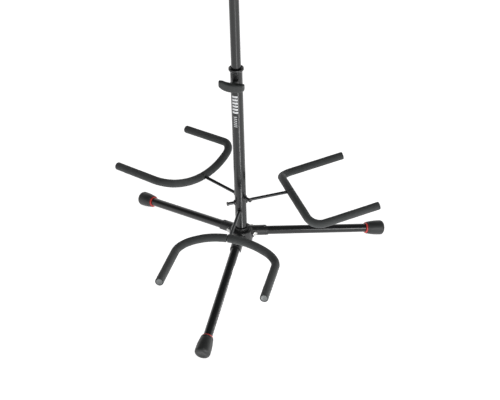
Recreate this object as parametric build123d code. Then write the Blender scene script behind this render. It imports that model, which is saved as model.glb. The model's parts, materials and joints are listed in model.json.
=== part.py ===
"""Floor stand for three guitars: folding tripod base, telescopic pole, three body yokes, three neck yokes.

Frame: millimetres, +Z up, origin where the pole axis meets the floor.
The front leg lies along -Y, the right leg at 30 degrees and the left leg at 150 degrees.
"""
from build123d import *
from math import atan, cos, degrees, radians, sin, sqrt, tan
import os

os.makedirs("parts", exist_ok=True)

# ---------------------------------------------------------------- driving dimensions (mm, degrees)
SIDES = ("front", "right", "left")
RUN_FIT = 0.05                      # radial clearance of every running fit

# tripod legs
LEG_AZIMUTH = {"front": -90, "right": 30, "left": 150}
LEG_OD, LEG_WALL = 19.0, 1.2
LEG_SLOPE = degrees(atan(0.2))      # each leg falls one in five towards its foot
LEG_AXIS_TOP = 79.4                 # height at which the three leg axes meet the pole axis
PIVOT_RADIUS = 27.0
PIVOT_HEIGHT = LEG_AXIS_TOP - PIVOT_RADIUS * tan(radians(LEG_SLOPE))
KNUCKLE_NECK = 6.0                  # from the pivot to the shoulder that the leg tube sits on
KNUCKLE_SPIGOT = 20.0
LEG_TUBE_END = 307.0                # along the leg, from the pivot
BOLT_D = 6.0

# feet
RING_START, RING_LENGTH, RING_OD = 267.6, 4.4, 24.6
BOOT_END = 311.8
BOOT_MOUTH_R, BOOT_WAIST_R, BOOT_FLARE_R = 13.2, 15.4, 16.4
BOOT_FLARE_START, BOOT_EDGE = 285.0, 6.5

# hub casting
CHANNEL_R = 9.9                     # half-round roof over each leg
HUB_WALL = 1.9
ARM_END = 57.0
CORE_R, CORE_BOTTOM, CORE_TOP = 24.0, 58.0, 87.0
SLOT_START = 17.2                   # inner wall of the leg slots
SEAT_R, SEAT_TOP = 15.6, 93.0       # short socket round the foot of the pole
SEAT_FLOOR = 64.0
FLANGE_DROP = 5.0                   # how far the arm flanges reach below the leg axis
ARM_SCREW_RADIUS = 50.0

# lower pole
POLE_OD, POLE_WALL = 25.0, 1.5
POLE_TOP = 477.5
POLE_R = POLE_OD / 2
BORE_R = POLE_R - POLE_WALL
INSERT_LENGTH = 22.0
HUB_BOLT_D, HUB_BOLT_HEAD = 8.0, 13.0
HUB_CAP_R, HUB_CAP_BOTTOM = 16.6, 52.0

# collar bush, its window and the clamp
MAST_OD, MAST_WALL = 20.0, 1.2
MAST_R = MAST_OD / 2
BUSH_BOTTOM = 437.0
LIP_R, LIP_BOTTOM, LIP_TOP = 15.7, 474.8, 481.4
WINDOW_WIDTH, WINDOW_BOTTOM, WINDOW_TOP = 14.0, 460.5, 474.2
CLAMP_HEIGHT = 452.0
CLAMP_D = 8.0
BOSS_R, BOSS_FACE = 8.0, 20.0
KNOB_BACK, KNOB_FRONT, KNOB_HUB_R = 21.0, 35.5, 11.0
WING_BACK, WING_FRONT = 24.5, 33.5

# telescopic mast
MAST_BOTTOM, MAST_TOP = 318.0, 806.0
GUIDE_BOTTOM, GUIDE_LENGTH = 322.0, 14.0
BEAD_OD, BEAD_LENGTH = 21.4, 2.0

# body yokes
YOKE_AZIMUTH = {"front": -88.0, "right": 31.5, "left": 150.0}
YOKE_HEIGHT = {"front": 141.0, "right": 157.0, "left": 173.0}
YOKE_ROLL = {"front": -3.0, "right": 0.0, "left": 180.0}
ROD_D = 7.0
ROD_R = ROD_D / 2
TAIL = 29.5
FOAM_D = 17.5
STEM_REACH = 113.8                  # pole axis to the middle of the bow
BOW = dict(radius=190.0, sweep=25.3, lean=63.7, corner=31.0, rise=7.7, reach=162.0)
SEAM_OFFSET, SEAM_GAP = 4.4, 1.8
CAP_R, NECK_CAP_R = 6.8, 5.8
CAP_LENGTH, CAP_GRIP = 5.5, 4.0

# head with the neck yokes
HEAD_BOTTOM, HEAD_TOP, HEAD_R = 778.0, 832.0, 21.0
HEAD_CAP_R, HEAD_SCREW_R = 14.0, 2.5
NECK_HEIGHT = 818.0
NECK_REACH = 78.0
NECK_FOAM_D = 15.0
NECK_BOW = dict(radius=95.0, sweep=9.0, lean=0.0, corner=17.0, rise=14.0, reach=66.0)
SOCKET_R, SOCKET_END = 8.0, 30.0
SOCKET_DEPTH = 12.0                 # bottom of each neck socket, from the mast axis


# ---------------------------------------------------------------- helpers
def rod_along_x(radius, start, end):
    """Round bar on the X axis between two stations."""
    return Pos((start + end) / 2, 0, 0) * Rot(0, 90, 0) * Cylinder(radius, end - start)


def ring_along_x(outer, inner, start, end):
    return rod_along_x(outer, start, end) - rod_along_x(inner, start - 1, end + 1)


def upright(radius, bottom, top):
    """Round bar on the pole axis between two heights."""
    return Pos(0, 0, (bottom + top) / 2) * Cylinder(radius, top - bottom)


def pipe(outer, inner, bottom, top):
    return upright(outer, bottom, top) - upright(inner, bottom - 1, top + 1)


def leg_frame(side):
    """X axis down the leg from its pivot, Y axis along the pivot bolt."""
    return Rot(0, 0, LEG_AZIMUTH[side]) * Pos(PIVOT_RADIUS, 0, PIVOT_HEIGHT) * Rot(0, LEG_SLOPE, 0)


def yoke_frame(side):
    """X axis out along the yoke's stem from the pole axis."""
    return (Pos(0, 0, YOKE_HEIGHT[side]) * Rot(0, 0, YOKE_AZIMUTH[side])
            * Rot(YOKE_ROLL[side], 0, 0))


def neck_frame(side):
    return Pos(0, 0, NECK_HEIGHT) * Rot(0, 0, YOKE_AZIMUTH[side])


def revolved(points, corner=None):
    """Solid of revolution about X from an outline of (station, radius) points."""
    outline = make_face(Polyline(*[(x, r, 0) for x, r in points], close=True))
    if corner:
        index, radius = corner
        x, r = points[index]
        vertex = outline.vertices().sort_by_distance((x, r, 0))[0]
        outline = fillet([vertex], radius)
    return revolve(outline, Axis.X)


def bow_points(radius, sweep, lean, corner, rise, reach):
    """Half of a yoke's bow: middle arc, corner arc and straight arm, as edges from middle to tip."""
    sag = Vector(cos(radians(lean)), 0, -sin(radians(lean)))
    side = Vector(0, 1, 0)

    def on_arc(angle):
        a = radians(angle)
        return side * (radius * sin(a)) + sag * (radius * (1 - cos(a)))

    start = on_arc(sweep)
    heading = side * cos(radians(sweep)) + sag * sin(radians(sweep))
    arm = Vector(cos(radians(rise)), 0, sin(radians(rise)))
    turn = radians(heading.get_angle(arm))
    inward = (arm - heading * cos(turn)) * (1 / sin(turn))

    def on_corner(angle):
        return start + inward * (corner * (1 - cos(angle))) + heading * (corner * sin(angle))

    corner_end = on_corner(turn)
    tip = corner_end + arm * ((reach - corner_end.X) / arm.X)
    return on_arc(0), on_arc(sweep / 2), start, on_corner(turn / 2), corner_end, tip, arm


def mirrored(point):
    return Vector(point.X, -point.Y, point.Z)


def bow_path(bow, trim=0.0):
    """Whole bow from one tip to the other; trim shortens both arms."""
    middle, half, start, mid_corner, corner_end, tip, arm = bow_points(**bow)
    tip = tip - arm * trim
    right = [ThreePointArc(start, mid_corner, corner_end), Line(corner_end, tip)]
    left = [Line(mirrored(tip), mirrored(corner_end)),
            ThreePointArc(mirrored(corner_end), mirrored(mid_corner), mirrored(start))]
    return Wire(left + [ThreePointArc(mirrored(start), middle, start)] + right)


def along(path, radius):
    """Round bar swept along a path."""
    section = Plane(origin=path @ 0, z_dir=path % 0) * Circle(radius)
    return sweep(section, path=path)


def bow_rod(bow, reach):
    return Pos(reach, 0, 0) * along(bow_path(bow), ROD_R)


def cap_planes(bow):
    """Planes at the inner ends of the two end caps, facing out of the tips."""
    tip, arm = bow_points(**bow)[5:]
    return [Plane(origin=point - heading * CAP_GRIP, z_dir=heading)
            for point, heading in ((tip, arm), (mirrored(tip), mirrored(arm)))]


def foam_tube(bow, reach, diameter, cap_radius):
    """Foam over the whole bow, flush with the end caps that sit inside it."""
    tube = along(bow_path(bow, trim=CAP_GRIP - CAP_LENGTH), diameter / 2) - along(bow_path(bow), ROD_R)
    for plane in cap_planes(bow):
        tube -= extrude(plane * Circle(cap_radius + 0.1), CAP_LENGTH + 1)
    return Pos(reach, 0, 0) * tube


def end_caps(bow, reach, radius):
    """Plastic caps on both tips of a bow."""
    caps = []
    for plane in cap_planes(bow):
        body = extrude(plane * Circle(radius), CAP_LENGTH)
        rims = body.edges().filter_by(GeomType.CIRCLE)
        body = chamfer(rims.sort_by_distance(plane.origin + plane.z_dir * CAP_LENGTH)[0], 0.8)
        caps.append(Pos(reach, 0, 0) * (body - extrude(plane * Circle(ROD_R), CAP_GRIP)))
    return caps


def save(name, *shapes):
    """Write one node; several identical pieces make one group of separate solids."""
    solids = [solid for shape in shapes for solid in shape.solids()]
    export_step(solids[0] if len(solids) == 1 else Compound(children=solids), f"parts/{name}.step")


# ---------------------------------------------------------------- hub
def arm_outline():
    """Side outline of one arm in the plane of its leg: radius from the pole axis, height."""
    slope = tan(radians(LEG_SLOPE))
    roof = CHANNEL_R + HUB_WALL

    def leg_axis(radius):
        return LEG_AXIS_TOP - radius * slope

    return [(0, CORE_BOTTOM), (18, CORE_BOTTOM + 2), (28, leg_axis(28) - FLANGE_DROP),
            (ARM_END, leg_axis(ARM_END) - FLANGE_DROP), (ARM_END, leg_axis(ARM_END) + roof + 2),
            (0, leg_axis(0) + roof + 2)]


def hub_arm():
    """Inverted channel: half-round roof and two flanges, lying along +X."""
    width = CHANNEL_R + HUB_WALL
    side = make_face(Polyline(*[(x, 0, z) for x, z in arm_outline()], close=True))
    slab = extrude(side, width, dir=(0, 1, 0), both=True)
    place = Pos(PIVOT_RADIUS, 0, PIVOT_HEIGHT) * Rot(0, LEG_SLOPE, 0)
    rounded = place * (rod_along_x(width, -60, 80) + Pos(10, 0, -30) * Box(140, 2 * width, 60))
    return slab & rounded


def leg_slot():
    """Space that a leg needs under its arm, open below and at the end."""
    place = Pos(PIVOT_RADIUS, 0, PIVOT_HEIGHT) * Rot(0, LEG_SLOPE, 0)
    channel = place * (rod_along_x(CHANNEL_R, -60, 80) + Pos(10, 0, -40) * Box(140, 2 * CHANNEL_R, 80))
    outside = Pos(SLOT_START + 60, 0, PIVOT_HEIGHT) * Box(120, 60, 200)
    return channel & outside


def bolt_line(radius, half_length):
    """Cylinder on the pivot axis of a leg that lies along +X."""
    return Pos(PIVOT_RADIUS, 0, PIVOT_HEIGHT) * Rot(90, 0, 0) * Cylinder(radius, 2 * half_length)


def arm_screw_axis():
    slope = tan(radians(LEG_SLOPE))
    return (Pos(ARM_SCREW_RADIUS, 0, LEG_AXIS_TOP - ARM_SCREW_RADIUS * slope) * Rot(0, LEG_SLOPE, 0))


def hub_body():
    core = upright(CORE_R, CORE_BOTTOM, CORE_TOP)
    core = fillet(core.edges().sort_by(Axis.Z)[-1], 4)
    core += upright(SEAT_R, CORE_BOTTOM, SEAT_TOP)
    for azimuth in LEG_AZIMUTH.values():
        core += Rot(0, 0, azimuth) * hub_arm()
    for azimuth in LEG_AZIMUTH.values():
        turn = Rot(0, 0, azimuth)
        core -= turn * leg_slot()
        core -= turn * bolt_line(BOLT_D / 2 + RUN_FIT, 30)
        core -= turn * arm_screw_axis() * Pos(0, 0, 15) * Cylinder(2.0, 20)
    core += upright(SEAT_R + 1, CORE_BOTTOM, SEAT_FLOOR)
    core -= upright(POLE_R, SEAT_FLOOR, SEAT_TOP + 1)
    return core - upright(HUB_BOLT_D / 2 + 0.2, CORE_BOTTOM - 1, SEAT_FLOOR + 1)


def hub_cap():
    cap = upright(HUB_CAP_R, HUB_CAP_BOTTOM, CORE_BOTTOM)
    cap = fillet(cap.edges().sort_by(Axis.Z)[0], 3)
    return cap - upright(HUB_BOLT_D / 2 + 0.2, HUB_CAP_BOTTOM - 1, CORE_BOTTOM + 1)


def hexagon(across, height):
    return extrude(RegularPolygon(across / sqrt(3), 6), height)


def hub_bolt():
    head = Pos(0, 0, HUB_CAP_BOTTOM - 5.3) * hexagon(HUB_BOLT_HEAD, 5.3)
    return head + upright(HUB_BOLT_D / 2, HUB_CAP_BOTTOM, SEAT_FLOOR + INSERT_LENGTH - 4)


def pole_insert():
    return pipe(BORE_R, HUB_BOLT_D / 2, SEAT_FLOOR, SEAT_FLOOR + INSERT_LENGTH)


def arm_screw():
    """Pan-head screw in the roof of an arm; its tip stays just clear of the leg."""
    roof = CHANNEL_R + HUB_WALL
    head = Pos(0, 0, roof + 0.9) * Cylinder(3.4, 2.8)
    head = fillet(head.edges().sort_by(Axis.Z)[-1], 1.2) - rod_along_x(roof, -20, 20)
    shank = Pos(0, 0, CHANNEL_R + HUB_WALL / 2 + 0.4) * Cylinder(2.0, HUB_WALL)
    return arm_screw_axis() * (head + shank)


# ---------------------------------------------------------------- legs, in the leg's own frame
def leg_tube():
    return ring_along_x(LEG_OD / 2, LEG_OD / 2 - LEG_WALL, KNUCKLE_NECK, LEG_TUBE_END)


def leg_knuckle():
    """Ball-ended plug: the pivot bolt runs through the ball."""
    radius = LEG_OD / 2
    plug = Sphere(radius) + rod_along_x(radius, 0, KNUCKLE_NECK)
    plug += rod_along_x(radius - LEG_WALL, KNUCKLE_NECK, KNUCKLE_NECK + KNUCKLE_SPIGOT)
    return plug - Rot(90, 0, 0) * Cylinder(BOLT_D / 2 + RUN_FIT, 40)


def leg_bolt(turn):
    """Pivot bolt with its button head on the side that faces forward."""
    outer = CHANNEL_R + HUB_WALL
    head = Pos(0, -outer - 1.7, 0) * Rot(90, 0, 0) * Cylinder(5.2, 3.4)
    head = fillet(head.edges().sort_by(Axis.Y)[0], 1.6)
    shank = Pos(0, 2.6, 0) * Rot(90, 0, 0) * Cylinder(BOLT_D / 2, 2 * outer + 5.2)
    return Rot(0, 0, turn) * (head + shank)


def leg_nut(turn):
    outer = CHANNEL_R + HUB_WALL
    nut = Pos(0, outer + 4.6, 0) * Rot(90, 0, 0) * hexagon(10, 4.6)
    return Rot(0, 0, turn) * (nut - Rot(90, 0, 0) * Cylinder(BOLT_D / 2, 80))


def foot_ring():
    ring = ring_along_x(RING_OD / 2, LEG_OD / 2, RING_START, RING_START + RING_LENGTH)
    outer = [e for e in ring.edges() if e.bounding_box().size.Y > RING_OD - 0.1]
    return fillet(outer, 1.2)


def foot_boot(side):
    """Rubber boot with a blind bore for the tube, cut flat where it stands on the floor."""
    start, bore = RING_START + RING_LENGTH, LEG_OD / 2
    outline = [(start, bore), (start, BOOT_MOUTH_R), (BOOT_FLARE_START, BOOT_WAIST_R),
               (BOOT_END - 7, BOOT_FLARE_R), (BOOT_END, BOOT_FLARE_R), (BOOT_END, 0),
               (LEG_TUBE_END, 0), (LEG_TUBE_END, bore)]
    boot = leg_frame(side) * revolved(outline, corner=(4, BOOT_EDGE))
    return boot - Pos(0, 0, -50) * Box(900, 900, 100)


# ---------------------------------------------------------------- pole, bush and clamp
def rod_holes(radius):
    """Cross holes for the three yoke stems."""
    return [Pos(0, 0, YOKE_HEIGHT[side]) * Rot(0, 0, YOKE_AZIMUTH[side]) * rod_along_x(radius, -30, 30)
            for side in SIDES]


def clamp_bore(radius, start, end):
    """Cylinder on the clamp screw's axis, between two distances in front of the pole axis."""
    return Pos(0, -(start + end) / 2, CLAMP_HEIGHT) * Rot(90, 0, 0) * Cylinder(radius, end - start)


def lower_pole():
    pole = pipe(POLE_R, BORE_R, SEAT_FLOOR, POLE_TOP)
    for hole in rod_holes(ROD_R + 1.6):
        pole -= hole
    middle = (WINDOW_BOTTOM + WINDOW_TOP) / 2
    pole -= Pos(0, -POLE_R, middle) * Box(WINDOW_WIDTH, 8, WINDOW_TOP - WINDOW_BOTTOM)
    return pole - clamp_bore(CLAMP_D / 2 + 0.5, 0, 30)


def rod_bushings():
    """Flanged bushes that carry the stems, one in each wall, saddled to the pole."""
    bushes = []
    for side in SIDES:
        for flip in (0, 180):
            sleeve = rod_along_x(ROD_R + 1.6, 9.8, POLE_R + 1.5)
            flange = rod_along_x(ROD_R + 2.6, POLE_R - 1.4, POLE_R + 1.5)
            flange -= upright(POLE_R, -20, 20)
            bush = sleeve + flange - rod_along_x(ROD_R + RUN_FIT, 0, 30)
            bushes.append(Pos(0, 0, YOKE_HEIGHT[side]) * Rot(0, 0, YOKE_AZIMUTH[side] + flip) * bush)
    return bushes


def collar_bush():
    """Moulded bush: dished lip over the pole's end, sleeve inside it and a snap tab in the window."""
    inner = MAST_R + RUN_FIT
    skirt = POLE_R + RUN_FIT
    outline = [(BUSH_BOTTOM, inner), (BUSH_BOTTOM, BORE_R), (POLE_TOP, BORE_R), (POLE_TOP, skirt),
               (LIP_BOTTOM, skirt), (LIP_BOTTOM, POLE_R + 1.3), (LIP_BOTTOM + 2.2, LIP_R - 0.3),
               (LIP_BOTTOM + 3.6, LIP_R), (LIP_TOP - 0.7, LIP_R - 0.3), (LIP_TOP, LIP_R - 1.1),
               (LIP_TOP - 0.7, LIP_R - 1.9), (POLE_TOP + 1.0, inner + 1.2), (POLE_TOP + 0.4, inner)]
    bush = Rot(0, -90, 0) * revolved(outline)
    middle, height = (WINDOW_BOTTOM + WINDOW_TOP) / 2, WINDOW_TOP - WINDOW_BOTTOM
    tab = upright(POLE_R - 0.6, 0, 500) & Pos(0, -POLE_R, middle) * Box(WINDOW_WIDTH - 0.8, 8, height - 0.8)
    bush += tab - upright(BORE_R - 0.3, 0, 500)
    bush -= Pos(0, -POLE_R, middle) * Rot(90, 0, 0) * Cylinder(3.0, 2.6)
    return bush - clamp_bore(CLAMP_D / 2 + 0.3, 0, 30)


def clamp_boss():
    boss = clamp_bore(BOSS_R, POLE_R - 3, BOSS_FACE) - upright(POLE_R, 400, 500)
    return boss - clamp_bore(CLAMP_D / 2 + RUN_FIT, 0, 30)


def clamp_pad():
    return clamp_bore(3.6, MAST_R + 0.06, MAST_R + 1.3)


def clamp_screw():
    return clamp_bore(CLAMP_D / 2, MAST_R + 1.3, KNOB_FRONT - 4)


def wing_knob():
    """Two-winged clamp knob moulded on the screw."""
    outline = [(-29, 0), (-29, 12.5), (-21, 12.5), (-12, 8.5), (10, 8.0), (18, 9.0), (23.5, 8.5),
               (23.5, -3), (18, -8), (9, -10.8), (-9, -10.8), (-22, -7)]
    wings = make_face(Polyline(*[(x, 0, z) for x, z in outline], close=True))
    wings = fillet(wings.vertices(), 1.6)
    wings = Pos(0, -WING_BACK, CLAMP_HEIGHT) * extrude(wings, WING_FRONT - WING_BACK, dir=(0, -1, 0))
    knob = wings + clamp_bore(KNOB_HUB_R, KNOB_BACK, KNOB_FRONT)
    return knob - clamp_bore(CLAMP_D / 2, 0, KNOB_FRONT - 4)


def upper_pole():
    """Mast tube with a swaged bead that stops it under the collar bush."""
    bead = GUIDE_BOTTOM + GUIDE_LENGTH + 0.1
    tube = upright(MAST_R, MAST_BOTTOM, MAST_TOP) + upright(BEAD_OD / 2, bead, bead + BEAD_LENGTH)
    return tube - upright(MAST_R - MAST_WALL, MAST_BOTTOM - 1, MAST_TOP + 1)


def mast_plug():
    """End plug whose flange keeps the guide ring on the mast."""
    flange = upright(BEAD_OD / 2, MAST_BOTTOM - 2, GUIDE_BOTTOM - 0.1) - upright(MAST_R, MAST_BOTTOM, 400)
    return flange + upright(MAST_R - MAST_WALL, MAST_BOTTOM - 2, MAST_BOTTOM + 14)


def guide_ring():
    return pipe(BORE_R - RUN_FIT, MAST_R + RUN_FIT, GUIDE_BOTTOM, GUIDE_BOTTOM + GUIDE_LENGTH)


# ---------------------------------------------------------------- yokes
def yoke_stem():
    """Straight stem, welded square to the middle of the bow."""
    return rod_along_x(ROD_R, -TAIL, STEM_REACH) - bow_rod(BOW, STEM_REACH)


def stem_stop():
    """Push-on stop that keeps the stem in its bushes."""
    return rod_along_x(ROD_R + 0.9, -TAIL - 1.0, -TAIL + 2.0) - rod_along_x(ROD_R, -TAIL, 0)


def foam_halves():
    """Two foam sleeves that meet beside the stem."""
    tube = foam_tube(BOW, STEM_REACH, FOAM_D, CAP_R)
    size = 600
    left = Pos(0, -SEAM_OFFSET - SEAM_GAP / 2 - size / 2, 0) * Box(size, size, size)
    right = Pos(0, -SEAM_OFFSET + SEAM_GAP / 2 + size / 2, 0) * Box(size, size, size)
    return tube & left, (tube & right) - rod_along_x(ROD_R + 0.2, 0, STEM_REACH)


# ---------------------------------------------------------------- head
def screw_line(radius):
    """Cylinder through the front of the head's neck, square to the mast."""
    start, length = MAST_R, 4.2
    return Pos(0, -(start + length / 2), HEAD_BOTTOM + 8) * Rot(90, 0, 0) * Cylinder(radius, length)


def head_hub():
    head = upright(HEAD_R, HEAD_BOTTOM + 14, HEAD_TOP) + upright(MAST_R + 4, HEAD_BOTTOM, HEAD_BOTTOM + 20)
    head = fillet(head.edges().filter_by(GeomType.CIRCLE).group_by(Axis.Z)[-1], 3)
    for side in SIDES:
        head += neck_frame(side) * rod_along_x(SOCKET_R, 0, SOCKET_END)
    for side in SIDES:
        head -= neck_frame(side) * rod_along_x(ROD_R + RUN_FIT, SOCKET_DEPTH, SOCKET_END + 1)
    head -= upright(MAST_R, HEAD_BOTTOM - 1, MAST_TOP)
    return head - screw_line(HEAD_SCREW_R) - upright(HEAD_CAP_R, HEAD_TOP - 3, HEAD_TOP + 1)


def head_cap():
    """Plain shallow cap pressed into the top of the head."""
    cap = upright(HEAD_CAP_R, HEAD_TOP - 3, HEAD_TOP + 1.6)
    return fillet(cap.edges().sort_by(Axis.Z)[-1], 1.4)


def head_screw():
    """Grub screw that holds the head on the mast."""
    return screw_line(HEAD_SCREW_R) - upright(MAST_R, HEAD_BOTTOM, HEAD_TOP)


def neck_rod():
    """Neck yoke: stem and bow bent and welded as one piece."""
    stem = rod_along_x(ROD_R, SOCKET_DEPTH + 0.4, NECK_REACH)
    return stem + bow_rod(NECK_BOW, NECK_REACH)


def neck_foam():
    return foam_tube(NECK_BOW, NECK_REACH, NECK_FOAM_D, NECK_CAP_R) - rod_along_x(ROD_R + 0.2, 0, NECK_REACH)


# ---------------------------------------------------------------- write every node
def forward_turn(side):
    """Bolt heads face forward: the left leg's bolt is turned end for end."""
    return 180 if side == "left" else 0


save("hub_body", hub_body())
save("hub_cap", hub_cap())
save("hub_bolt", hub_bolt())
save("pole_insert", pole_insert())
save("arm_screws", *[Rot(0, 0, LEG_AZIMUTH[side]) * arm_screw() for side in SIDES])
save("leg_bolts", *[leg_frame(side) * leg_bolt(forward_turn(side)) for side in SIDES])
save("leg_nuts", *[leg_frame(side) * leg_nut(forward_turn(side)) for side in SIDES])
for side in SIDES:
    save(f"leg_tube_{side}", leg_frame(side) * leg_tube())
    save(f"leg_knuckle_{side}", leg_frame(side) * leg_knuckle())
    save(f"foot_ring_{side}", leg_frame(side) * foot_ring())
    save(f"foot_boot_{side}", foot_boot(side))

save("lower_pole", lower_pole())
save("rod_bushings", *rod_bushings())
save("collar_bush", collar_bush())
save("clamp_boss", clamp_boss())
save("clamp_pad", clamp_pad())
save("clamp_screw", clamp_screw())
save("wing_knob", wing_knob())
save("upper_pole", upper_pole())
save("mast_plug", mast_plug())
save("guide_ring", guide_ring())

foam_left, foam_right = foam_halves()
for side in SIDES:
    place = yoke_frame(side)
    save(f"yoke_stem_{side}", place * yoke_stem())
    save(f"yoke_bow_{side}", place * bow_rod(BOW, STEM_REACH))
    save(f"yoke_foam_a_{side}", place * foam_left)
    save(f"yoke_foam_b_{side}", place * foam_right)
    save(f"yoke_caps_{side}", *[place * cap for cap in end_caps(BOW, STEM_REACH, CAP_R)])
    save(f"stem_stop_{side}", place * stem_stop())

save("head_hub", head_hub())
save("head_cap", head_cap())
save("head_screw", head_screw())
for side in SIDES:
    place = neck_frame(side)
    save(f"neck_rod_{side}", place * neck_rod())
    save(f"neck_foam_{side}", place * neck_foam())
    save(f"neck_caps_{side}", *[place * cap for cap in end_caps(NECK_BOW, NECK_REACH, NECK_CAP_R)])
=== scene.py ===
"""Looks of the three-guitar floor stand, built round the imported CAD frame.

Metres, +Z up, front leg along -Y.
"""
import bpy
import bmesh
import json
import math
from mathutils import Matrix, Vector, noise


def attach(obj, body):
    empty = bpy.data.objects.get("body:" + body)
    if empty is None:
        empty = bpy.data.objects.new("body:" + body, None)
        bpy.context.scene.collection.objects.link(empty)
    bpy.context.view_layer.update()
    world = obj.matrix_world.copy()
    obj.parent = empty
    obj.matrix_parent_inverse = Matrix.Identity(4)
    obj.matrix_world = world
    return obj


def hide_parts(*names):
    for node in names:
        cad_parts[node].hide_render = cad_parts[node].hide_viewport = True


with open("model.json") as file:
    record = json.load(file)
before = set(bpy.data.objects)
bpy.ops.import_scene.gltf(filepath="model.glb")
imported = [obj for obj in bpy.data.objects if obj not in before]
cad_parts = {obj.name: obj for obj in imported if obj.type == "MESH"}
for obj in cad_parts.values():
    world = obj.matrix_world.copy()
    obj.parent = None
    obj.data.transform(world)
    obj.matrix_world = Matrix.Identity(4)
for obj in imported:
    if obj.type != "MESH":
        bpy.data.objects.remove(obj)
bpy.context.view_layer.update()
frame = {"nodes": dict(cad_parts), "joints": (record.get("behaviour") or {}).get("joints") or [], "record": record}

MM = 0.001
SIDES = ("front", "right", "left")
JOINTS = {joint["name"]: joint for joint in frame["joints"]}
UP = Vector((0, 0, 1))

# ------------------------------------------------------------------ sizes shared with the CAD
LEG_SLOPE = math.atan(0.2)
YOKE_ROLL = {"front": -3.0, "right": 0.0, "left": 180.0}
STEM_REACH, FOAM_D = 113.8 * MM, 17.5 * MM
BOW = dict(radius=190.0 * MM, sweep=25.3, lean=63.7, corner=31.0 * MM, rise=7.7, reach=162.0 * MM)
NECK_REACH, NECK_FOAM_D = 78.0 * MM, 15.0 * MM
NECK_BOW = dict(radius=95.0 * MM, sweep=9.0, lean=0.0, corner=17.0 * MM, rise=14.0, reach=66.0 * MM)
SEAM_OFFSET, SEAM_GAP = 4.4 * MM, 1.8 * MM
MIDDLE_DEPTH = 30 * MM  # the bow's middle arc stays nearer to its own X = 0 than this
ROD_R = 3.5 * MM
CAP_R, NECK_CAP_R = 6.8 * MM, 5.8 * MM
CAP_GRIP, CAP_LENGTH = 4.0 * MM, 5.5 * MM
BOOT_START, BOOT_END = 272.0 * MM, 311.8 * MM
LEG_TUBE_END = 307.0 * MM
CLAMP_HEIGHT = JOINTS["clamp_turn"]["pos_m"][2]


# ------------------------------------------------------------------ frames taken from the joints
def leg_matrix(side):
    """X axis down the leg from its pivot, Y axis along the pivot bolt."""
    joint = JOINTS[f"leg_fold_{side}"]
    bolt = Vector(joint["axis"]).normalized()
    outward = bolt.cross(UP)
    down = outward * math.cos(LEG_SLOPE) - UP * math.sin(LEG_SLOPE)
    return basis(down, bolt, joint["pos_m"])


def yoke_matrix(name, roll=0.0):
    """X axis out along the yoke's stem from the pole axis."""
    joint = JOINTS[name]
    out = Vector(joint["axis"]).normalized()
    return basis(out, UP.cross(out), joint["pos_m"]) @ Matrix.Rotation(math.radians(roll), 4, "X")


def basis(x_axis, y_axis, origin):
    z_axis = x_axis.cross(y_axis)
    matrix = Matrix((x_axis, y_axis, z_axis)).transposed().to_4x4()
    matrix.translation = Vector(origin)
    return matrix


# ------------------------------------------------------------------ node helpers
def new_material(name):
    material = bpy.data.materials.new(name)
    material.use_nodes = True
    nodes, links = material.node_tree.nodes, material.node_tree.links
    return material, nodes, links, nodes["Principled BSDF"]


def object_coords(nodes):
    return nodes.new("ShaderNodeTexCoord").outputs["Object"]


def noise_tex(nodes, links, coords, scale, detail=3.0, rough=0.5):
    tex = nodes.new("ShaderNodeTexNoise")
    tex.inputs["Scale"].default_value = scale
    tex.inputs["Detail"].default_value = detail
    tex.inputs["Roughness"].default_value = rough
    links.new(coords, tex.inputs["Vector"])
    return tex.outputs["Fac"]


def voronoi_tex(nodes, links, coords, scale):
    tex = nodes.new("ShaderNodeTexVoronoi")
    tex.inputs["Scale"].default_value = scale
    links.new(coords, tex.inputs["Vector"])
    return tex.outputs["Distance"]


def ramp(nodes, links, fac, stops):
    node = nodes.new("ShaderNodeValToRGB")
    elements = node.color_ramp.elements
    while len(elements) < len(stops):
        elements.new(0.5)
    for element, (position, colour) in zip(elements, stops):
        element.position = position
        element.color = (*colour, 1) if len(colour) == 3 else colour
    links.new(fac, node.inputs["Fac"])
    return node.outputs["Color"]


def grey(value):
    return (value, value, value)


def scaled(colour, factor):
    return tuple(channel * factor for channel in colour)


def roughness_from(nodes, links, shader, pattern, limits):
    first, last = limits
    blend = ramp(nodes, links, pattern, [(0.3, grey(first)), (0.7, grey(last))])
    links.new(blend, shader.inputs["Roughness"])


def maths(nodes, links, operation, *values):
    node = nodes.new("ShaderNodeMath")
    node.operation = operation
    for socket, value in zip(node.inputs, values):
        if isinstance(value, (int, float)):
            socket.default_value = value
        else:
            links.new(value, socket)
    return node.outputs["Value"]


def mix_colour(nodes, links, fac, a, b):
    node = nodes.new("ShaderNodeMix")
    node.data_type = "RGBA"
    links.new(fac, node.inputs["Factor"])
    for socket, value in ((node.inputs["A"], a), (node.inputs["B"], b)):
        if isinstance(value, tuple):
            socket.default_value = (*value, 1)
        else:
            links.new(value, socket)
    return node.outputs["Result"]


def bumped(nodes, links, shader, layers, edge=0.0):
    """Stack of bump layers (height, strength, distance) over softly rounded edges."""
    normal = None
    if edge:
        bevel = nodes.new("ShaderNodeBevel")
        bevel.samples = 4
        bevel.inputs["Radius"].default_value = edge
        normal = bevel.outputs["Normal"]
    for height, strength, distance in layers:
        bump = nodes.new("ShaderNodeBump")
        bump.inputs["Strength"].default_value = strength
        bump.inputs["Distance"].default_value = distance
        links.new(height, bump.inputs["Height"])
        if normal is not None:
            links.new(normal, bump.inputs["Normal"])
        normal = bump.outputs["Normal"]
    links.new(normal, shader.inputs["Normal"])


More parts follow.
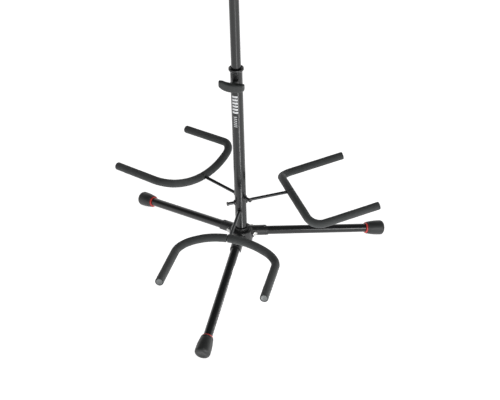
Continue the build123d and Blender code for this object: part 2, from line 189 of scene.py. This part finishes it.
def worn_edges(nodes, links, coords, radius):
    """Mask that is bright on sharp outer edges, broken up by noise."""
    bevel = nodes.new("ShaderNodeBevel")
    bevel.samples = 4
    bevel.inputs["Radius"].default_value = radius
    geometry = nodes.new("ShaderNodeNewGeometry")
    dot = nodes.new("ShaderNodeVectorMath")
    dot.operation = "DOT_PRODUCT"
    links.new(bevel.outputs["Normal"], dot.inputs[0])
    links.new(geometry.outputs["Normal"], dot.inputs[1])
    edge = maths(nodes, links, "SUBTRACT", 1.0, dot.outputs["Value"])
    broken = noise_tex(nodes, links, coords, 420, 4, 0.6)
    mask = maths(nodes, links, "MULTIPLY", edge, broken)
    return ramp(nodes, links, mask, [(0.03, grey(0)), (0.14, grey(1))])


# ------------------------------------------------------------------ materials
# Rows of marks on the pole: lowest and highest place and bar spacing in mm, share of the
# spacing that a bar fills, and half its width in radians round the pole
MARK_ROWS = ((382.0, 425.0, 7.2, 0.6, 0.5), (350.0, 377.0, 4.5, 0.36, 0.3))
MARK_TURN = 0.16


def tick_marks(nodes, links, coords):
    """Mask of pale ticks on the front of the pole: six bold bars over six thin ones."""
    split = nodes.new("ShaderNodeSeparateXYZ")
    links.new(coords, split.inputs["Vector"])
    x, y, z = split.outputs
    across = maths(nodes, links, "ARCTAN2", x, maths(nodes, links, "MULTIPLY", y, -1.0))
    off_centre = maths(nodes, links, "ABSOLUTE", maths(nodes, links, "ADD", across, MARK_TURN))
    bars = []
    for bottom, top, period, share, half_angle in MARK_ROWS:
        above = maths(nodes, links, "GREATER_THAN", z, bottom * MM)
        below = maths(nodes, links, "LESS_THAN", z, top * MM)
        climb = maths(nodes, links, "SUBTRACT", z, bottom * MM)
        steps = maths(nodes, links, "MULTIPLY", climb, 1 / (period * MM))
        bar = maths(nodes, links, "LESS_THAN", maths(nodes, links, "FRACT", steps), share)
        wide = maths(nodes, links, "LESS_THAN", off_centre, half_angle)
        span = maths(nodes, links, "MULTIPLY", above, below)
        bars.append(maths(nodes, links, "MULTIPLY", span, maths(nodes, links, "MULTIPLY", bar, wide)))
    rubbed = noise_tex(nodes, links, coords, 900, 4, 0.7)
    worn = ramp(nodes, links, rubbed, [(0.3, grey(0.55)), (0.45, grey(1.0))])
    both = maths(nodes, links, "ADD", *bars)
    front = maths(nodes, links, "LESS_THAN", y, 0.0)
    return maths(nodes, links, "MULTIPLY", maths(nodes, links, "MULTIPLY", both, front), worn)


def powder_coat(name, base, rough=(0.13, 0.21), peel=1.0, edge=0.35 * MM, marked=False):
    """Glossy black powder coat: orange peel, faint handling marks, thin edges."""
    material, nodes, links, shader = new_material(name)
    coords = object_coords(nodes)
    mottling = noise_tex(nodes, links, coords, 38, 4, 0.6)
    fine = noise_tex(nodes, links, coords, 1500, 2, 0.5)
    waves = noise_tex(nodes, links, coords, 320, 2, 0.5)
    marks = noise_tex(nodes, links, coords, 140, 6, 0.75)
    colour = ramp(nodes, links, mottling, [(0.3, scaled(base, 0.85)), (0.72, scaled(base, 1.18))])
    colour = mix_colour(nodes, links, worn_edges(nodes, links, coords, 0.7 * MM), colour, grey(0.06))
    if marked:
        colour = mix_colour(nodes, links, tick_marks(nodes, links, coords), colour, (0.58, 0.59, 0.6))
    links.new(colour, shader.inputs["Base Color"])
    roughness_from(nodes, links, shader, marks, rough)
    bumped(nodes, links, shader, [(waves, 0.012 * peel, 0.06 * MM), (fine, 0.05 * peel, 0.03 * MM)], edge)
    return material


def moulded_plastic(name, base, rough=(0.42, 0.56), grain=0.22, edge=0.35 * MM):
    """Spark-eroded moulded plastic with a fine even grain."""
    material, nodes, links, shader = new_material(name)
    coords = object_coords(nodes)
    spark = voronoi_tex(nodes, links, coords, 1900)
    cloud = noise_tex(nodes, links, coords, 60, 4, 0.6)
    scuff = noise_tex(nodes, links, coords, 260, 5, 0.7)
    colour = ramp(nodes, links, cloud, [(0.3, scaled(base, 0.9)), (0.7, scaled(base, 1.12))])
    links.new(colour, shader.inputs["Base Color"])
    roughness_from(nodes, links, shader, scuff, rough)
    bumped(nodes, links, shader, [(spark, grain, 0.06 * MM), (scuff, 0.08, 0.05 * MM)], edge)
    return material


def closed_cell_foam(name, base):
    """Matt closed-cell foam: open pores with painted shade in them, soft undulation and a dusty bloom."""
    material, nodes, links, shader = new_material(name)
    coords = object_coords(nodes)
    cells = voronoi_tex(nodes, links, coords, 1150)
    pores = noise_tex(nodes, links, coords, 820, 5, 0.7)
    swell = noise_tex(nodes, links, coords, 70, 3, 0.5)
    bloom = noise_tex(nodes, links, coords, 26, 5, 0.65)
    body = ramp(nodes, links, bloom, [(0.28, scaled(base, 0.86)), (0.74, scaled(base, 1.2))])
    # painted shade: the base colour darkens to 0.72 where the pore pattern dips, as shade in the pores
    pore_shade = ramp(nodes, links, pores, [(0.30, grey(0.72)), (0.46, grey(1.0))])
    multiply = nodes.new("ShaderNodeMix")
    multiply.data_type = "RGBA"
    multiply.blend_type = "MULTIPLY"
    multiply.inputs["Factor"].default_value = 1.0
    links.new(body, multiply.inputs["A"])
    links.new(pore_shade, multiply.inputs["B"])
    links.new(multiply.outputs["Result"], shader.inputs["Base Color"])
    shader.inputs["Roughness"].default_value = 0.86
    shader.inputs["Sheen Weight"].default_value = 0.12
    shader.inputs["Sheen Roughness"].default_value = 0.6
    shader.inputs["Specular IOR Level"].default_value = 0.35
    bumped(nodes, links, shader, [(swell, 0.35, 0.5 * MM), (cells, 0.5, 0.12 * MM), (pores, 0.6, 0.14 * MM)])
    return material


def moulded_rubber(name, base):
    """Matt black rubber with a fine bloom and a faint grain."""
    material, nodes, links, shader = new_material(name)
    coords = object_coords(nodes)
    grain = noise_tex(nodes, links, coords, 1300, 4, 0.65)
    bloom = noise_tex(nodes, links, coords, 55, 5, 0.6)
    scuff = noise_tex(nodes, links, coords, 300, 6, 0.75)
    colour = ramp(nodes, links, bloom, [(0.3, scaled(base, 0.82)), (0.75, scaled(base, 1.3))])
    links.new(colour, shader.inputs["Base Color"])
    roughness_from(nodes, links, shader, scuff, (0.36, 0.52))
    bumped(nodes, links, shader, [(scuff, 0.14, 0.12 * MM), (grain, 0.35, 0.07 * MM)], 0.3 * MM)
    return material


def plated_metal(name, base, rough=(0.22, 0.4), edge=0.15 * MM):
    """Zinc-plated or machined steel with turning marks and slight staining."""
    material, nodes, links, shader = new_material(name)
    coords = object_coords(nodes)
    stain = noise_tex(nodes, links, coords, 190, 5, 0.7)
    turned = noise_tex(nodes, links, coords, 2600, 2, 0.5)
    colour = ramp(nodes, links, stain, [(0.3, scaled(base, 0.8)), (0.7, base)])
    links.new(colour, shader.inputs["Base Color"])
    shader.inputs["Metallic"].default_value = 1.0
    roughness_from(nodes, links, shader, stain, rough[::-1])
    bumped(nodes, links, shader, [(turned, 0.12, 0.03 * MM)], edge)
    return material


BLACK = (0.009, 0.0098, 0.0102)
MATERIALS = {
    "frame_paint": powder_coat("powder_coat_tube", BLACK),
    "hub_paint": powder_coat("powder_coat_casting", (0.0125, 0.013, 0.0135), (0.24, 0.36), 3.0, 0.5 * MM),
    "foam": closed_cell_foam("closed_cell_foam", (0.033, 0.036, 0.036)),
    "boot_rubber": moulded_rubber("boot_rubber", (0.019, 0.0205, 0.0205)),
    "ring_red": moulded_plastic("red_ring_plastic", (0.6, 0.045, 0.038), (0.26, 0.38), 0.1, 0.3 * MM),
    "knob_plastic": moulded_plastic("knob_nylon", (0.018, 0.0205, 0.02), (0.34, 0.46), 0.2, 0.5 * MM),
    "bush_plastic": moulded_plastic("bush_plastic", (0.017, 0.0175, 0.018), (0.22, 0.34), 0.12, 0.3 * MM),
    "cap_plastic": moulded_plastic("cap_plastic", (0.15, 0.16, 0.16), (0.4, 0.55), 0.3, 0.3 * MM),
    "zinc": plated_metal("zinc_plate", (0.5, 0.5, 0.49)),
    "bare_steel": plated_metal("machined_steel", (0.3, 0.3, 0.3), (0.3, 0.45)),
}
FINISH = {
    "lower_pole": powder_coat("powder_coat_marked", BLACK, marked=True),
    "arm_screws": plated_metal("black_zinc_screw", (0.16, 0.16, 0.165), (0.3, 0.45)),
    **dict.fromkeys([f"yoke_stem_{side}" for side in SIDES],
                    plated_metal("black_nickel_rod", (0.075, 0.078, 0.08), (0.14, 0.24))),
}
NODE_SLOT = {entry["node"]: entry["material_slot"] for entry in frame["record"]["subparts"]}
BODY_OF = {node: body for body, nodes in frame["record"]["behaviour"]["bodies"].items() for node in nodes}


# ------------------------------------------------------------------ piece helpers
def finish_piece(name, mesh, like, finish=None):
    """Put a new mesh in a CAD node's place: its finish, its body, its slot."""
    piece = bpy.data.objects.new(name, mesh)
    bpy.context.scene.collection.objects.link(piece)
    slot = NODE_SLOT[like]
    mesh.materials.clear()
    mesh.materials.append(FINISH[finish] if finish else MATERIALS[slot])
    for polygon in mesh.polygons:
        polygon.use_smooth = True
    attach(piece, BODY_OF[like])
    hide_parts(like)
    return piece


def mesh_from(name, points, faces):
    mesh = bpy.data.meshes.new(name)
    mesh.from_pydata([tuple(p) for p in points], [], faces)
    mesh.validate()
    shell = bmesh.new()
    shell.from_mesh(mesh)
    bmesh.ops.recalc_face_normals(shell, faces=shell.faces)
    shell.to_mesh(mesh)
    shell.free()
    return mesh


def ring_faces(first, second, count):
    return [(first + i, first + (i + 1) % count, second + (i + 1) % count, second + i) for i in range(count)]


def lathe(profile, segments=64):
    """Surface of revolution about X from (station, radius) points; a zero radius closes to one point."""
    points, faces, rows = [], [], []
    for station, radius in profile:
        start = len(points)
        if radius < 1e-7:
            points.append(Vector((station, 0, 0)))
            rows.append((start, 1))
            continue
        for i in range(segments):
            a = 2 * math.pi * i / segments
            points.append(Vector((station, radius * math.cos(a), radius * math.sin(a))))
        rows.append((start, segments))
    for (a, na), (b, nb) in zip(rows, rows[1:]):
        if na == 1:
            faces += [(a, b + (i + 1) % segments, b + i) for i in range(segments)]
        elif nb == 1:
            faces += [(a + i, a + (i + 1) % segments, b) for i in range(segments)]
        else:
            faces += ring_faces(a, b, segments)
    return points, faces


def smooth_curve(points, steps):
    """Catmull-Rom curve through a list of points."""
    out = []
    last = len(points) - 1
    for i in range(last):
        p = [Vector(points[min(max(i + k, 0), last)]) for k in (-1, 0, 1, 2)]
        for k in range(steps):
            t = k / steps
            bend = (p[0] * -1 + p[1] * 3 - p[2] * 3 + p[3]) * t ** 3
            slope = (p[0] * 2 - p[1] * 5 + p[2] * 4 - p[3]) * t ** 2
            out.append((p[1] * 2 + (p[2] - p[0]) * t + slope + bend) / 2)
    out.append(Vector(points[last]))
    return out


def melted(name, parts, voxel, smoothing):
    """One moulded mesh made from overlapping closed shells."""
    shell = bpy.data.objects.new(name, mesh_from(name, *join_parts(parts)))
    bpy.context.scene.collection.objects.link(shell)
    remesh = shell.modifiers.new("melt", "REMESH")
    remesh.mode = "VOXEL"
    remesh.voxel_size = voxel
    soften = shell.modifiers.new("soften", "SMOOTH")
    soften.factor = 0.5
    soften.iterations = smoothing
    mesh = bpy.data.meshes.new_from_object(shell.evaluated_get(bpy.context.evaluated_depsgraph_get()))
    bpy.data.objects.remove(shell)
    return mesh


# ------------------------------------------------------------------ bows and foam
def bow_line(bow, trim, step):
    """Points along a bow from one tip to the other, and how sharply it turns at each."""
    radius, sweep, corner = bow["radius"], math.radians(bow["sweep"]), bow["corner"]
    lean, rise = math.radians(bow["lean"]), math.radians(bow["rise"])
    side = Vector((0, 1, 0))
    sag = Vector((math.cos(lean), 0, -math.sin(lean)))
    arm = Vector((math.cos(rise), 0, math.sin(rise)))
    start = side * (radius * math.sin(sweep)) + sag * (radius * (1 - math.cos(sweep)))
    heading = side * math.cos(sweep) + sag * math.sin(sweep)
    turn = heading.angle(arm)
    inward = (arm - heading * math.cos(turn)) / math.sin(turn)
    half = []
    count = max(4, round(radius * sweep / step))
    for i in range(count):
        a = sweep * i / count
        half.append((side * (radius * math.sin(a)) + sag * (radius * (1 - math.cos(a))), 0.0, sag))
    count = max(6, round(corner * turn / step * 1.6))
    for i in range(count + 1):
        a = turn * i / count
        bend = math.sin(math.pi * i / count)
        centre = inward * math.cos(a) - heading * math.sin(a)
        place = start + inward * (corner * (1 - math.cos(a))) + heading * (corner * math.sin(a))
        half.append((place, bend, centre))
    corner_end = half[-1][0]
    length = (bow["reach"] - corner_end.x) / arm.x - trim
    count = max(4, round(length / step))
    for i in range(1, count + 1):
        half.append((corner_end + arm * (length * i / count), 0.0, inward))
    flip = [(Vector((p.x, -p.y, p.z)), b, Vector((n.x, -n.y, n.z))) for p, b, n in half[1:]]
    return flip[::-1] + half


def frames_along(line):
    """Parallel-transported frames for a line of points."""
    points = [entry[0] for entry in line]
    tangents = []
    for i in range(len(points)):
        a, b = points[max(i - 1, 0)], points[min(i + 1, len(points) - 1)]
        tangents.append((b - a).normalized())
    normal = tangents[0].orthogonal().normalized()
    out = []
    for i, tangent in enumerate(tangents):
        if i:
            normal = (normal - tangent * normal.dot(tangent)).normalized()
        out.append((points[i], tangent, normal, tangent.cross(normal)))
    return out


def foam_sleeve(line, radius, lip_a, lip_b, bore_a, bore_b, seed, segments=44):
    """Foam tube along a line. Each end rolls over a lip into a bore (radius, depth)."""
    frames = frames_along(line)
    inner = ROD_R + 0.1 * MM
    points, faces, rows = [], [], []

    def add_ring(position, normal, binormal, size, wrinkle=None):
        start = len(points)
        for k in range(segments):
            a = 2 * math.pi * k / segments
            way = normal * math.cos(a) + binormal * math.sin(a)
            r = size
            if wrinkle:
                r += wrinkle(position + way * size, way)
            points.append(position + way * r)
        rows.append(start)

    def end_rings(frame_at, lip, bore, sign):
        position, tangent, normal, binormal = frame_at
        bore_radius, depth = bore
        rings = [(depth, inner), (depth, bore_radius), (lip * 0.5, bore_radius)]
        rings += [(lip * 0.18, bore_radius + lip * 0.1), (0.0, bore_radius + lip * 0.4)]
        steps = 5
        for k in range(steps):
            a = math.pi / 2 * k / steps
            rings.append((lip * (1 - math.cos(a)), radius - lip * (1 - math.sin(a))))
        ordered = rings if sign > 0 else rings[::-1]
        for back, size in ordered:
            add_ring(position + tangent * (sign * back), normal, binormal, size)

    def skin(bend, centre):
        def wrinkle(at, way):
            soft = noise.noise(at * 46 + Vector((seed, 0, 0))) * 0.22 * MM
            fine = noise.noise(at * 210 + Vector((0, seed, 0))) * 0.09 * MM
            if bend > 0.05:
                inner = max(0.0, way.dot(centre)) ** 2
                crease = math.sin((at.x + at.y * 0.7 - at.z) * 2 * math.pi / (5.2 * MM))
                soft += inner * bend * crease * 0.34 * MM
            return soft + fine
        return wrinkle

    end_rings(frames[0], lip_a, bore_a, 1)
    travelled = [0.0]
    for a, b in zip(frames, frames[1:]):
        travelled.append(travelled[-1] + (b[0] - a[0]).length)
    total = travelled[-1]
    for (position, tangent, normal, binormal), (_, bend, centre), s in zip(frames, line, travelled):
        if s < lip_a * 1.05 or s > total - lip_b * 1.05:
            continue
        across = (centre - tangent * centre.dot(tangent)).normalized()
        fade = min(1.0, (s - lip_a) / (3 * MM), (total - lip_b - s) / (3 * MM))
        shape = skin(bend, across)
        add_ring(position, normal, binormal, radius, lambda at, way: shape(at, way) * fade)
    end_rings(frames[-1], lip_b, bore_b, -1)
    hidden = [f for f, s in zip(frames, travelled) if bore_a[1] + MM < s < total - bore_b[1] - MM]
    for position, tangent, normal, binormal in hidden[::-3]:
        add_ring(position, normal, binormal, inner)
    for a, b in zip(rows, rows[1:]):
        faces += ring_faces(a, b, segments)
    faces += ring_faces(rows[-1], rows[0], segments)
    return points, faces


def split_line(line, low, high):
    """The stretch of a line between two sideways places, with cut points put exactly there."""
    out = []
    for (p, _, centre), following in zip(line, line[1:]):
        q = following[0]
        for edge in (low, high):
            if (p.y - edge) * (q.y - edge) < 0 and max(abs(p.x), abs(q.x)) < MIDDLE_DEPTH:
                t = (edge - p.y) / (q.y - p.y)
                out.append((p.lerp(q, t), 0.0, centre))
        if low < q.y < high:
            out.append(following)
    if low < line[0][0].y < high:
        out.insert(0, line[0])
    return out


def placed(points, matrix):
    return [matrix @ p for p in points]


def cap_disc(bow, reach, radius):
    """End discs of a bow: a shallow dish with a rolled rim, seated in the foam."""
    line = bow_line(bow, 0.0, 4 * MM)
    discs = []
    for end, inner in ((line[0][0], line[1][0]), (line[-1][0], line[-2][0])):
        out = (end - inner).normalized()
        face = CAP_LENGTH - CAP_GRIP
        profile = [(-CAP_GRIP, 0), (-CAP_GRIP, radius * 0.9), (-CAP_GRIP + 0.6 * MM, radius),
                   (face - 0.9 * MM, radius), (face - 0.2 * MM, radius * 0.96), (face, radius * 0.88),
                   (face - 0.05 * MM, radius * 0.8), (face - 0.7 * MM, radius * 0.7),
                   (face - 0.9 * MM, radius * 0.3), (face - 0.9 * MM, 0)]
        points, faces = lathe(profile, 40)
        side = out.orthogonal().normalized()
        matrix = basis(out, side, end + Vector((reach, 0, 0)))
        discs.append((placed(points, matrix), faces))
    return discs


def join_parts(parts):
    points, faces = [], []
    for part_points, part_faces in parts:
        offset = len(points)
        points += part_points
        faces += [tuple(i + offset for i in face) for face in part_faces]
    return points, faces


def dress_body_yoke(side):
    matrix = yoke_matrix(f"yoke_roll_{side}", YOKE_ROLL[side]) @ Matrix.Translation((STEM_REACH, 0, 0))
    line = bow_line(BOW, CAP_GRIP - CAP_LENGTH, 1.6 * MM)
    beyond = 1.0  # metres, past either end of the bow
    halves = {"a": (-beyond, -SEAM_OFFSET - SEAM_GAP / 2), "b": (-SEAM_OFFSET + SEAM_GAP / 2, beyond)}
    tip_bore, seam_bore = (CAP_R + 0.1 * MM, CAP_LENGTH + 0.1 * MM), (4.0 * MM, 2 * MM)
    for letter, (low, high) in halves.items():
        stretch = split_line(line, low, high)
        ends = ((tip_bore, seam_bore), (seam_bore, tip_bore))[letter == "b"]
        seed = SIDES.index(side) * 7.3
        points, faces = foam_sleeve(stretch, FOAM_D / 2, 1.3 * MM, 1.3 * MM, *ends, seed=seed)
        node = f"yoke_foam_{letter}_{side}"
        mesh = mesh_from(node, placed(points, matrix), faces)
        piece = finish_piece(f"foam_sleeve_{letter}_{side}", mesh, node)
    node = f"yoke_caps_{side}"
    parts = [(placed(points, matrix @ Matrix.Translation((-STEM_REACH, 0, 0))), faces)
             for points, faces in cap_disc(BOW, STEM_REACH, CAP_R)]
    finish_piece(f"foam_end_discs_{side}", mesh_from(node, *join_parts(parts)), node)


def dress_neck_yoke(side):
    matrix = yoke_matrix(f"neck_roll_{side}") @ Matrix.Translation((NECK_REACH, 0, 0))
    line = bow_line(NECK_BOW, CAP_GRIP - CAP_LENGTH, 1.6 * MM)
    bore = (NECK_CAP_R + 0.1 * MM, CAP_LENGTH + 0.1 * MM)
    seed = SIDES.index(side) * 5.1
    points, faces = foam_sleeve(line, NECK_FOAM_D / 2, 1.1 * MM, 1.1 * MM, bore, bore, seed=seed)
    node = f"neck_foam_{side}"
    piece = finish_piece(f"neck_sleeve_{side}", mesh_from(node, placed(points, matrix), faces), node)
    node = f"neck_caps_{side}"
    parts = [(placed(points, matrix @ Matrix.Translation((-NECK_REACH, 0, 0))), faces)
             for points, faces in cap_disc(NECK_BOW, NECK_REACH, NECK_CAP_R)]
    finish_piece(f"neck_end_discs_{side}", mesh_from(node, *join_parts(parts)), node)


for side in SIDES:
    dress_body_yoke(side)
    dress_neck_yoke(side)


# ------------------------------------------------------------------ boots
def dress_foot(side):
    """Rubber boot whose mouth laps the red ring, flat where it stands on the floor."""
    node = f"foot_boot_{side}"
    mouth, end = BOOT_START, BOOT_END
    lip = [(0.4, 9.6), (0.0, 12.45), (-1.1, 12.45), (-1.45, 12.7), (-1.45, 13.05), (-1.1, 13.4), (0.6, 13.6)]
    groove = [(2.2, 13.75), (2.6, 13.35), (3.4, 13.35), (3.8, 14.0)]
    profile = [(LEG_TUBE_END, 0), (LEG_TUBE_END, 9.6 * MM)]
    profile += [(mouth + s * MM, r * MM) for s, r in lip + groove]
    flare = smooth_curve([(mouth + 3.8 * MM, 14.0 * MM), (mouth + 13 * MM, 15.45 * MM),
                          (mouth + 22 * MM, 16.15 * MM), (end - 6.5 * MM, 16.4 * MM)], 6)
    profile += [tuple(p) for p in flare[1:]]
    for k in range(1, 9):
        a = math.pi / 2 * k / 8
        profile.append((end - 6.5 * MM * (1 - math.sin(a)), 16.4 * MM - 6.5 * MM * (1 - math.cos(a))))
    profile += [(end, 7 * MM), (end - 0.5 * MM, 6.4 * MM), (end - 0.5 * MM, 0)]
    points, faces = lathe(profile, 96)
    points = placed(points, leg_matrix(side))
    for point in points:
        point.z = max(point.z, 0.0)
    finish_piece(f"rubber_boot_{side}", mesh_from(node, points, faces), node)


for side in SIDES:
    dress_foot(side)


# ------------------------------------------------------------------ wing knob
def wing_loft():
    """Both wings as one loft along X: station, bottom, top, back and front in mm from the screw's axis."""
    stations = [(-28.9, 0.5, 11.2, 25.6, 32.4), (-27.9, -2.0, 12.4, 24.8, 33.4),
                (-21.5, -6.8, 12.4, 24.4, 34.2), (-15.0, -9.2, 10.2, 23.6, 35.0),
                (-8.0, -10.6, 8.9, 22.8, 35.4), (0.0, -10.9, 8.6, 22.6, 35.5),
                (8.0, -10.6, 8.7, 22.8, 35.4), (15.0, -9.0, 9.0, 23.4, 34.9),
                (21.5, -6.0, 9.0, 24.2, 34.0), (23.4, -4.0, 7.8, 25.2, 32.8)]
    rows = smooth_curve([Vector(row[:3]) for row in stations], 4)
    sides = smooth_curve([Vector((row[0], row[3], row[4])) for row in stations], 4)
    points, faces, segments = [], [], 40
    for (x, low, high), (_, back, front) in zip(rows, sides):
        for k in range(segments):
            a = 2 * math.pi * k / segments
            c, s = math.cos(a), math.sin(a)
            round_c = math.copysign(abs(c) ** 0.62, c)
            round_s = math.copysign(abs(s) ** 0.62, s)
            y = -((front + back) / 2 + (front - back) / 2 * round_c)
            z = (high + low) / 2 + (high - low) / 2 * round_s
            points.append(Vector((x * MM, y * MM, CLAMP_HEIGHT + z * MM)))
    rings = len(points) // segments
    for i in range(rings - 1):
        faces += ring_faces(i * segments, (i + 1) * segments, segments)
    faces.append(tuple(range(segments))[::-1])
    faces.append(tuple(range((rings - 1) * segments, rings * segments)))
    return points, faces


def dress_knob():
    node = "wing_knob"
    hub = [(21.0, 0), (21.0, 9.0), (21.8, 9.9), (24.0, 10.3), (31.0, 9.6), (32.5, 7.5), (33.0, 0)]
    points, faces = lathe([(s * MM, r * MM) for s, r in hub], 64)
    matrix = basis(Vector((0, -1, 0)), Vector((1, 0, 0)), (0, 0, CLAMP_HEIGHT))
    mesh = melted("knob", [wing_loft(), (placed(points, matrix), faces)], 0.55 * MM, 6)
    finish_piece("clamp_wing_knob", mesh, node)


dress_knob()


# ------------------------------------------------------------------ arm screws
def socket_screw(station, height, radius, head, flats, depth):
    """Low button head standing on +Z of a leg's frame, with a hexagon socket."""
    segments = 48
    rings = [(height - 1.0 * MM, radius * 0.98), (height, radius), (height + head * 0.5, radius * 0.94),
             (height + head * 0.85, radius * 0.78), (height + head, radius * 0.62)]
    points, rows = [], []
    for level, size in rings:
        rows.append([Vector((0, 0, level)) + Vector((math.cos(a), math.sin(a), 0)) * size
                     for a in (2 * math.pi * k / segments for k in range(segments))])
    for level in (height + head, height + head - depth):
        row = []
        for k in range(segments):
            a = 2 * math.pi * k / segments
            reach = flats / 2 / math.cos((a + math.pi / 6) % (math.pi / 3) - math.pi / 6)
            row.append(Vector((reach * math.cos(a), reach * math.sin(a), level)))
        rows.append(row)
    faces = []
    for i, row in enumerate(rows):
        points += [Vector((station, 0, 0)) + p for p in row]
        if i:
            faces += ring_faces((i - 1) * segments, i * segments, segments)
    faces.append(tuple(range(segments))[::-1])
    faces.append(tuple(range(len(points) - segments, len(points))))
    return points, faces


ARM_SCREW_STATION, ARM_ROOF = 23.46 * MM, 11.8 * MM
SCREW = socket_screw(ARM_SCREW_STATION, ARM_ROOF, 3.4 * MM, 0.9 * MM, 2.5 * MM, 0.8 * MM)
SCREWS = join_parts([(placed(SCREW[0], leg_matrix(side)), SCREW[1]) for side in SIDES])
finish_piece("arm_screw_heads", mesh_from("arm_screws", *SCREWS), "arm_screws", finish="arm_screws")

# ------------------------------------------------------------------ CAD nodes keep their shape
for node, obj in frame["nodes"].items():
    obj.data.materials.clear()
    obj.data.materials.append(FINISH.get(node) or MATERIALS[NODE_SLOT[node]])

# ------------------------------------------------------------------ floor, light and camera
def floor():
    """White sweep that glows a little, so that it stays white with only a faint contact shade."""
    material, nodes, links, shader = new_material("pale_floor")
    coords = object_coords(nodes)
    shade = noise_tex(nodes, links, coords, 1.4, 2, 0.4)
    links.new(ramp(nodes, links, shade, [(0.3, grey(0.8)), (0.7, grey(0.82))]), shader.inputs["Base Color"])
    shader.inputs["Roughness"].default_value = 0.9
    shader.inputs["Specular IOR Level"].default_value = 0.1
    shader.inputs["Emission Color"].default_value = (1, 1, 1, 1)
    shader.inputs["Emission Strength"].default_value = 0.88
    points, faces = lathe([(0, 0), (0, 2), (0, 6), (0, 14)], 96)
    mesh = mesh_from("floor", [Vector((p.y, p.z, -0.0002)) for p in points], faces)
    mesh.materials.append(material)
    obj = bpy.data.objects.new("floor", mesh)
    bpy.context.scene.collection.objects.link(obj)


# name, place, what it is aimed at, size, watts, and whether the camera sees it
SOFTBOXES = (("top", (0.75, -1.25, 2.3), (0, 0, 0.15), (0.6, 0.6), 9, True),
             ("front_softbox", (1.15, -1.95, 0.45), (0, 0, 0.25), (1.3, 0.9), 16, False),
             ("side_softbox", (2.0, -0.9, 0.4), (0, 0, 0.15), (0.5, 0.7), 8, False))
# Strips lying face up on the floor, which the glossy pole mirrors as one thin pale line:
# name, nearest and farthest distance from the pole, width, watts
STRIPS = (("near_strip", 0.04, 0.24, 0.016, 0.13), ("middle_strip", 0.26, 0.64, 0.045, 0.95),
          ("far_strip", 0.68, 1.5, 0.2, 1.9))
STRIP_TURN, STRIP_LIFT = math.radians(36), 0.004


def aimed(place, target):
    return (Vector(target) - Vector(place)).to_track_quat("-Z", "Y").to_euler()


def area_light(name, place, rotation, size, power, seen=False):
    data = bpy.data.lights.new(name, "AREA")
    data.shape = "RECTANGLE"
    data.size, data.size_y = size
    data.energy = power
    lamp = bpy.data.objects.new(name, data)
    lamp.location = place
    lamp.rotation_euler = rotation
    lamp.visible_camera = seen
    bpy.context.scene.collection.objects.link(lamp)


def studio():
    """Dark overhead, bright low down, and bright further up behind the stand."""
    world = bpy.data.worlds.new("studio")
    world.use_nodes = True
    nodes, links = world.node_tree.nodes, world.node_tree.links
    background = nodes["Background"]
    coords = nodes.new("ShaderNodeTexCoord")
    split = nodes.new("ShaderNodeSeparateXYZ")
    links.new(coords.outputs["Generated"], split.inputs["Vector"])
    behind = maths(nodes, links, "MULTIPLY", maths(nodes, links, "MAXIMUM", split.outputs["Y"], 0.0), 0.5)
    height = maths(nodes, links, "SUBTRACT", split.outputs["Z"], behind)
    sky = ramp(nodes, links, height,
               [(0.0, grey(1.0)), (0.1, grey(0.8)), (0.3, grey(0.14)), (1.0, grey(0.08))])
    links.new(sky, background.inputs["Color"])
    background.inputs["Strength"].default_value = 1.0
    bpy.context.scene.world = world
    for name, place, target, size, power, seen in SOFTBOXES:
        area_light(name, place, aimed(place, target), size, power, seen)
    for name, near, far, width, power in STRIPS:
        middle, length = (near + far) / 2, far - near
        place = (middle * math.sin(STRIP_TURN), -middle * math.cos(STRIP_TURN), STRIP_LIFT)
        area_light(name, place, (math.pi, 0, STRIP_TURN), (width, length), power)


# The camera looks at a point on the pole axis from the photograph's side and height.
LOOK_HEIGHT = 0.2
AZIMUTH, ELEVATION, DISTANCE, ROLL = 15.17, 33.93, 2.3922, -1.91
FOCAL, CENTRE_X, CENTRE_Y = 1123.87, 240.0, 184.78
FRAME_W, FRAME_H, SENSOR = 500, 400, 36.0


def camera():
    data = bpy.data.cameras.new("camera")
    data.sensor_width = SENSOR
    data.lens = FOCAL / FRAME_W * SENSOR
    data.shift_x = (FRAME_W / 2 - CENTRE_X) / FRAME_W
    data.shift_y = (CENTRE_Y - FRAME_H / 2) / FRAME_W
    a, e = math.radians(AZIMUTH), math.radians(ELEVATION)
    back = Vector((math.sin(a) * math.cos(e), -math.cos(a) * math.cos(e), math.sin(e)))
    right = (-back).cross(UP).normalized()
    up = right.cross(-back)
    roll = math.radians(ROLL)
    turned_right = right * math.cos(roll) + up * math.sin(roll)
    turned_up = up * math.cos(roll) - right * math.sin(roll)
    obj = bpy.data.objects.new("camera", data)
    obj.matrix_world = basis(turned_right, turned_up, UP * LOOK_HEIGHT + back * DISTANCE)
    bpy.context.scene.collection.objects.link(obj)
    bpy.context.scene.camera = obj


floor()
studio()
camera()
bpy.context.scene.view_settings.view_transform = "Standard"
